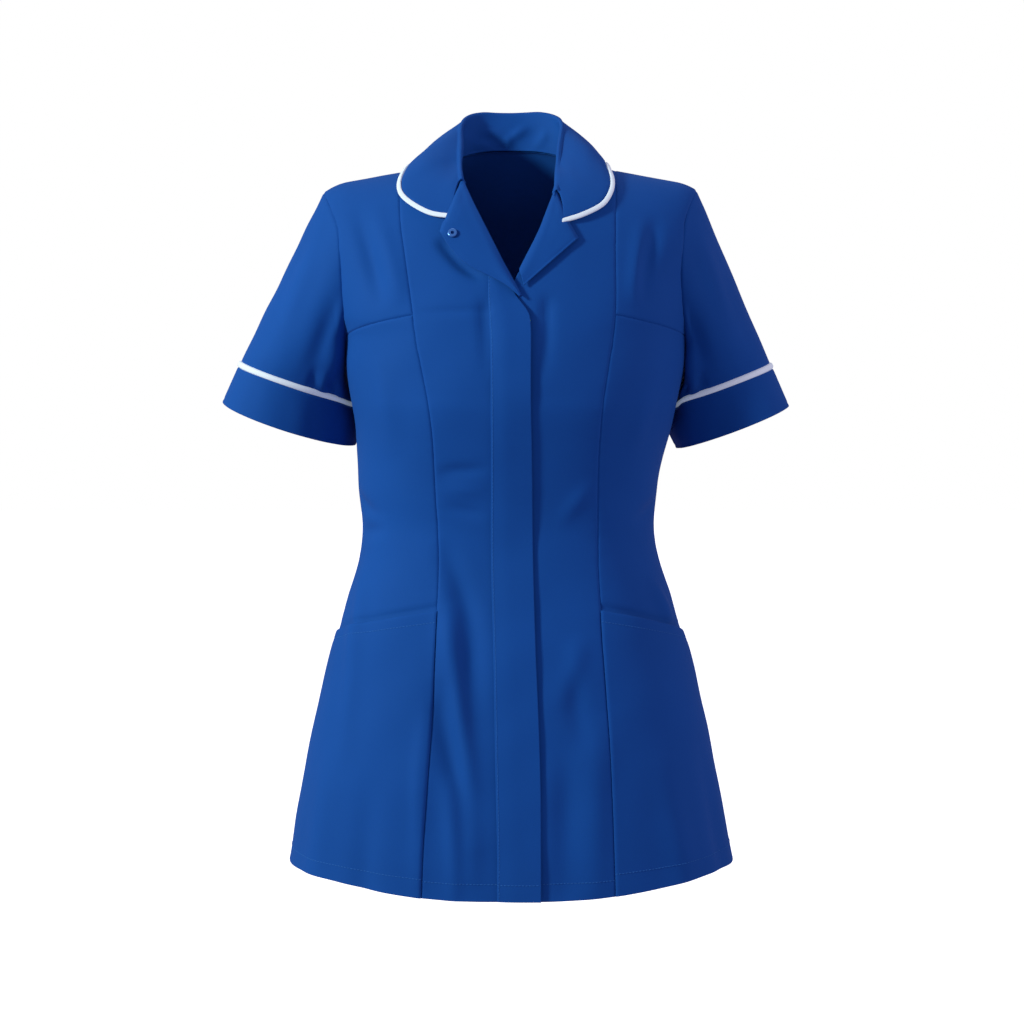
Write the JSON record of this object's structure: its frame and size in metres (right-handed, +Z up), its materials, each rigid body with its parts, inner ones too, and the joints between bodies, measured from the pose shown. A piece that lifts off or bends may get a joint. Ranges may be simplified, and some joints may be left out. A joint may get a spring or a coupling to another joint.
{
  "type": "zip-front tunic",
  "caption": "Short-sleeved fitted tunic with a rounded collar, open lapels, a covered front zip, princess seams, hip pockets and contrast piping.",
  "frame": {"origin": "midway between the points where the two shoulder seams meet the neck, where the wearer's shoulders hold the tunic up", "axes": "+Z up towards the collar, the front faces -Y, +X towards the wearer's left side"},
  "size_m": [0.5776, 0.2772, 0.778],
  "materials": {
    "royal_twill": "matt woven twill",
    "white_piping": "smooth bias-cut piping",
    "zip_blue": "woven tape and coil",
    "zip_metal": "satin"
  },
  "bodies": {
    "root": {"back_centre": "royal_twill", "back_side_left": "royal_twill", "back_side_right": "royal_twill", "collar": "royal_twill", "collar_piping": "white_piping", "cuff_left": "royal_twill", "cuff_piping_left": "white_piping", "cuff_piping_right": "white_piping", "cuff_right": "royal_twill", "fly": "royal_twill", "front_centre_left": "royal_twill", "front_centre_right": "royal_twill", "front_side_left": "royal_twill", "front_side_right": "royal_twill", "front_side_upper_left": "royal_twill", "front_side_upper_right": "royal_twill", "lapel_left": "royal_twill", "lapel_right": "royal_twill", "pocket_left": "royal_twill", "pocket_right": "royal_twill", "press_stud_ball": "zip_metal", "press_stud_socket": "zip_metal", "sleeve_left": "royal_twill", "sleeve_right": "royal_twill", "zip_chain": "zip_blue", "zip_pull": "zip_metal", "zip_slider": "zip_metal", "zip_tape_left": "zip_blue", "zip_tape_right": "zip_blue"}
  },
  "joints": []
}
